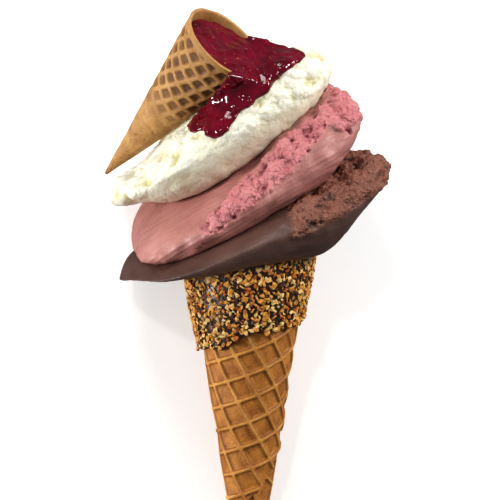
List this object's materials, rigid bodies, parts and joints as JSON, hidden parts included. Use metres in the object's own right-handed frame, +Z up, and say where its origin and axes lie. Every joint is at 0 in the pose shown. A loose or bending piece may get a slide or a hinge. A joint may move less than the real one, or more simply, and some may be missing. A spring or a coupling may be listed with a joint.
{
  "type": "ice cream cone",
  "caption": "Waffle cone with a nut dipped mouth, flat slabs of gelato in layers and a small wafer cone that pours berry sauce over them; lies on its back.",
  "frame": {"origin": "under the middle of the whole, on the surface it lies on", "axes": "+Z up, out of the side that the picture shows; +Y from the cone's tip towards the gelato; +X to the right as the picture shows it"},
  "size_m": [0.1336, 0.2668, 0.0828],
  "materials": {
    "wafer": "dry baked wafer, golden brown, with darker ribs",
    "nut_coat": "dark chocolate under chopped roasted nuts",
    "chocolate_gelato": "damp dark brown, crumbly where it was torn",
    "strawberry_gelato": "damp dusty pink, crumbly where it was torn",
    "vanilla_gelato": "damp creamy white, smooth",
    "berry_sauce": "wet deep red, glossy",
    "small_wafer": "dry baked wafer, golden brown, with dark pockets"
  },
  "bodies": {
    "root": {"wafer_cone": "wafer", "nut_coat": "nut_coat", "chocolate_gelato": "chocolate_gelato", "strawberry_gelato": "strawberry_gelato", "vanilla_gelato": "vanilla_gelato", "berry_sauce": "berry_sauce", "small_cone": "small_wafer"}
  },
  "joints": []
}
